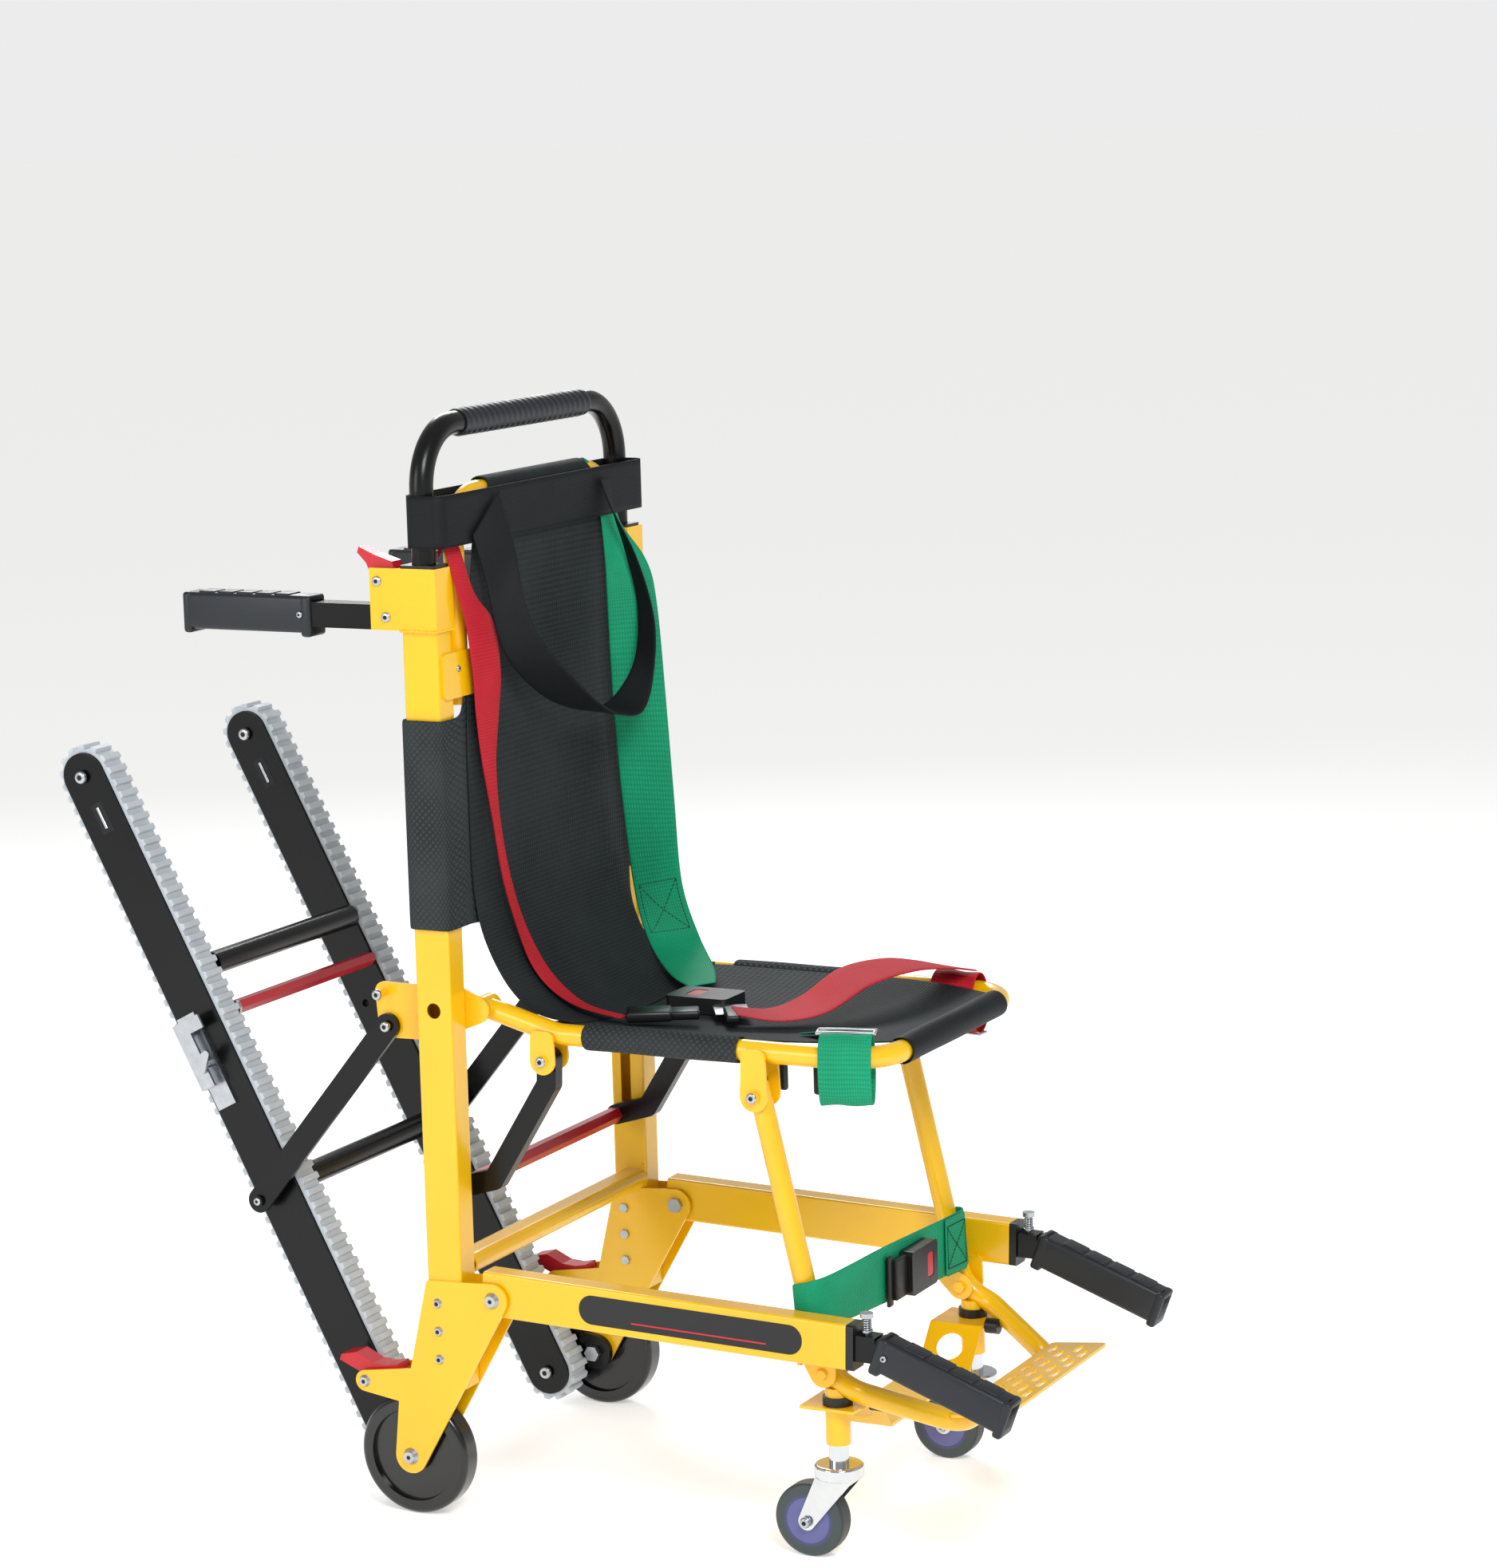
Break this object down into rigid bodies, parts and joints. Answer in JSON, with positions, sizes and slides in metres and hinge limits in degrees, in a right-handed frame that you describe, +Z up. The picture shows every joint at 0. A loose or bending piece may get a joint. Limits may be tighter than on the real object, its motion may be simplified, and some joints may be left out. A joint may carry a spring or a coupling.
{
  "type": "stair chair",
  "caption": "Folding evacuation stair chair with fabric seat and back, belt tracks for stairs, wheels, casters and sliding carrying handles.",
  "frame": {"origin": "centre of the whole chair's footprint box, on the floor, with the stair tracks set out for use", "axes": "+Z up, -Y towards the chair's front, +X towards the occupant's left"},
  "size_m": [0.447, 1.1014, 1.1335],
  "materials": {
    "yellow_paint": "glossy powder coat",
    "black_paint": "satin black coat",
    "black_plastic": "moulded, fine texture",
    "grip_rubber": "soft moulded grip",
    "red_plastic": "moulded, glossy",
    "red_paint": "glossy coat",
    "steel": "stainless, satin",
    "chrome": "bright plated",
    "black_tyre": "glossy moulded",
    "grey_tyre": "grey elastic tyre",
    "belt": "pale grey toothed belt",
    "black_mesh": "open woven mesh",
    "black_webbing": "woven webbing",
    "red_webbing": "woven webbing",
    "green_webbing": "woven webbing"
  },
  "bodies": {
    "back_frame": {"upright_left": "yellow_paint", "upright_right": "yellow_paint", "guide_bushes": "black_plastic", "wheel_plates": "yellow_paint", "frame_bolts": "steel", "cross_tube": "yellow_paint", "back_arch": "yellow_paint", "frame_brackets": "yellow_paint", "track_hangers": "yellow_paint", "back_sling": "black_mesh", "shoulder_strap_red": "red_webbing", "shoulder_strap_green": "green_webbing"},
    "top_handle": {"handle_tube": "black_paint", "handle_grip": "grip_rubber", "head_strap": "black_webbing"},
    "base": {"rail_left": "yellow_paint", "rail_right": "yellow_paint", "rail_caps": "black_plastic"},
    "legs": {"leg_frame": "yellow_paint", "foot_plate": "yellow_paint", "caster_carrier": "yellow_paint", "leg_plugs": "black_plastic", "ankle_strap": "green_webbing", "ankle_buckle": "black_plastic"},
    "ankle_release": {"ankle_button": "red_plastic"},
    "seat": {"seat_frame": "yellow_paint", "seat_sling": "black_mesh", "lap_straps": "red_webbing", "harness_buckle": "black_plastic"},
    "harness_release": {"harness_button": "red_plastic"},
    "struts": {"strut_arms": "black_paint", "strut_lock_bar": "red_paint"},
    "track": {"track_beams": "black_paint", "track_belts": "belt", "track_latch": "steel"},
    "track_top_pulleys": {"top_pulleys": "black_plastic"},
    "track_bottom_pulleys": {"bottom_pulleys": "black_plastic"},
    "track_catch": {"latch_pawl": "steel", "track_release_bar": "red_paint"},
    "links": {"track_links": "black_paint"},
    "rear_handle_left": {"rear_bar_left": "black_paint", "rear_grip_left": "grip_rubber"},
    "rear_release_left": {"rear_lever_left": "red_plastic"},
    "rear_roller_left": {"rear_wheel_left": "black_tyre"},
    "brake_left": {"brake_pedal_left": "red_plastic"},
    "front_handle_left": {"carry_bar_left": "black_paint", "carry_grip_left": "grip_rubber"},
    "front_lock_left": {"lock_knob_left": "steel"},
    "caster_swivel_left": {"caster_fork_left": "chrome"},
    "caster_roller_left": {"caster_wheel_left": "grey_tyre"},
    "rear_handle_right": {"rear_bar_right": "black_paint", "rear_grip_right": "grip_rubber"},
    "rear_release_right": {"rear_lever_right": "red_plastic"},
    "rear_roller_right": {"rear_wheel_right": "black_tyre"},
    "brake_right": {"brake_pedal_right": "red_plastic"},
    "front_handle_right": {"carry_bar_right": "black_paint", "carry_grip_right": "grip_rubber"},
    "front_lock_right": {"lock_knob_right": "steel"},
    "caster_swivel_right": {"caster_fork_right": "chrome"},
    "caster_roller_right": {"caster_wheel_right": "grey_tyre"}
  },
  "joints": [
    {"name": "top_handle_slide", "type": "slide", "parent": "back_frame", "child": "top_handle", "axis": [0, 0, 1], "range_m": [0, 0.31]},
    {"name": "base_fold", "type": "hinge", "parent": "back_frame", "child": "base", "pos_m": [0, 0.0162, 0.2385], "axis": [1, 0, 0], "range_deg": [-70, 0]},
    {"name": "leg_fold", "type": "hinge", "parent": "base", "child": "legs", "pos_m": [0, -0.3358, 0.192], "axis": [1, 0, 0], "range_deg": [0, 68.6]},
    {"name": "seat_fold", "type": "hinge", "parent": "back_frame", "child": "seat", "pos_m": [0, 0.0412, 0.53], "axis": [1, 0, 0], "range_deg": [-80.8, 0]},
    {"name": "strut_swing", "type": "hinge", "parent": "seat", "child": "struts", "pos_m": [0, -0.0308, 0.482], "axis": [1, 0, 0], "range_deg": [0, 74.8]},
    {"name": "track_fold", "type": "hinge", "parent": "back_frame", "child": "track", "pos_m": [0, 0.1192, 0.0625], "axis": [1, 0, 0], "range_deg": [0, 28]},
    {"name": "track_link_swing", "type": "hinge", "parent": "back_frame", "child": "links", "pos_m": [0, 0.1442, 0.507], "axis": [1, 0, 0], "range_deg": [-33.2, 0]},
    {"name": "top_pulley_spin", "type": "hinge", "parent": "track", "child": "track_top_pulleys", "pos_m": [0, 0.5177, 0.743], "axis": [1, 0, 0], "continuous": true},
    {"name": "bottom_pulley_spin", "type": "hinge", "parent": "track", "child": "track_bottom_pulleys", "pos_m": [0, 0.1592, 0.046], "axis": [1, 0, 0], "continuous": true},
    {"name": "track_release", "type": "hinge", "parent": "track", "child": "track_catch", "pos_m": [0, 0.3752, 0.4465], "axis": [1, 0, 0], "range_deg": [-10, 0], "stiffness_Nm_per_rad": 3, "springref_deg": 17.19},
    {"name": "harness_press", "type": "slide", "parent": "seat", "child": "harness_release", "axis": [0, 0, -1], "range_m": [0, 0.002], "stiffness_N_per_m": 500, "springref_m": -0.004},
    {"name": "ankle_press", "type": "slide", "parent": "legs", "child": "ankle_release", "axis": [0, 1, 0], "range_m": [0, 0.002], "stiffness_N_per_m": 500, "springref_m": -0.004},
    {"name": "rear_handle_fold_left", "type": "hinge", "parent": "back_frame", "child": "rear_handle_left", "pos_m": [0.2, 0.1092, 0.931], "axis": [1, 0, 0], "range_deg": [-80, 0]},
    {"name": "rear_lever_left", "type": "hinge", "parent": "back_frame", "child": "rear_release_left", "pos_m": [0.2, 0.1182, 0.967], "axis": [1, 0, 0], "range_deg": [-10, 0], "stiffness_Nm_per_rad": 1, "springref_deg": 17.19},
    {"name": "rear_wheel_spin_left", "type": "hinge", "parent": "back_frame", "child": "rear_roller_left", "pos_m": [0.2, 0.1192, 0.0625], "axis": [1, 0, 0], "continuous": true},
    {"name": "brake_press_left", "type": "hinge", "parent": "back_frame", "child": "brake_left", "pos_m": [0.2, 0.1712, 0.137], "axis": [1, 0, 0], "range_deg": [-10, 0]},
    {"name": "front_handle_slide_left", "type": "slide", "parent": "base", "child": "front_handle_left", "axis": [0, -0.9996, -0.0278], "range_m": [0, 0.23]},
    {"name": "front_lock_left", "type": "slide", "parent": "front_handle_left", "child": "front_lock_left", "axis": [0, -0.0278, 0.9996], "range_m": [0, 0.006], "stiffness_N_per_m": 400, "springref_m": -0.005},
    {"name": "caster_turn_left", "type": "hinge", "parent": "legs", "child": "caster_swivel_left", "pos_m": [0.165, -0.3438, 0.1], "axis": [0, 0, 1], "continuous": true},
    {"name": "caster_roll_left", "type": "hinge", "parent": "caster_swivel_left", "child": "caster_roller_left", "pos_m": [0.165, -0.3138, 0.0375], "axis": [1, 0, 0], "continuous": true},
    {"name": "rear_handle_fold_right", "type": "hinge", "parent": "back_frame", "child": "rear_handle_right", "pos_m": [-0.2, 0.1092, 0.931], "axis": [1, 0, 0], "range_deg": [-80, 0]},
    {"name": "rear_lever_right", "type": "hinge", "parent": "back_frame", "child": "rear_release_right", "pos_m": [-0.2, 0.1182, 0.967], "axis": [1, 0, 0], "range_deg": [-10, 0], "stiffness_Nm_per_rad": 1, "springref_deg": 17.19},
    {"name": "rear_wheel_spin_right", "type": "hinge", "parent": "back_frame", "child": "rear_roller_right", "pos_m": [-0.2, 0.1192, 0.0625], "axis": [1, 0, 0], "continuous": true},
    {"name": "brake_press_right", "type": "hinge", "parent": "back_frame", "child": "brake_right", "pos_m": [-0.2, 0.1712, 0.137], "axis": [1, 0, 0], "range_deg": [-10, 0]},
    {"name": "front_handle_slide_right", "type": "slide", "parent": "base", "child": "front_handle_right", "axis": [0, -0.9996, -0.0278], "range_m": [0, 0.23]},
    {"name": "front_lock_right", "type": "slide", "parent": "front_handle_right", "child": "front_lock_right", "axis": [0, -0.0278, 0.9996], "range_m": [0, 0.006], "stiffness_N_per_m": 400, "springref_m": -0.005},
    {"name": "caster_turn_right", "type": "hinge", "parent": "legs", "child": "caster_swivel_right", "pos_m": [-0.165, -0.3438, 0.1], "axis": [0, 0, 1], "continuous": true},
    {"name": "caster_roll_right", "type": "hinge", "parent": "caster_swivel_right", "child": "caster_roller_right", "pos_m": [-0.165, -0.3138, 0.0375], "axis": [1, 0, 0], "continuous": true}
  ],
  "couplings": [
    {"joint": "leg_fold", "follows": "base_fold", "ratio": -0.979},
    {"joint": "seat_fold", "follows": "base_fold", "ratio": 1.153},
    {"joint": "strut_swing", "follows": "base_fold", "ratio": -1.067},
    {"joint": "track_link_swing", "follows": "track_fold", "ratio": -1.185},
    {"joint": "bottom_pulley_spin", "follows": "top_pulley_spin", "ratio": 1}
  ]
}
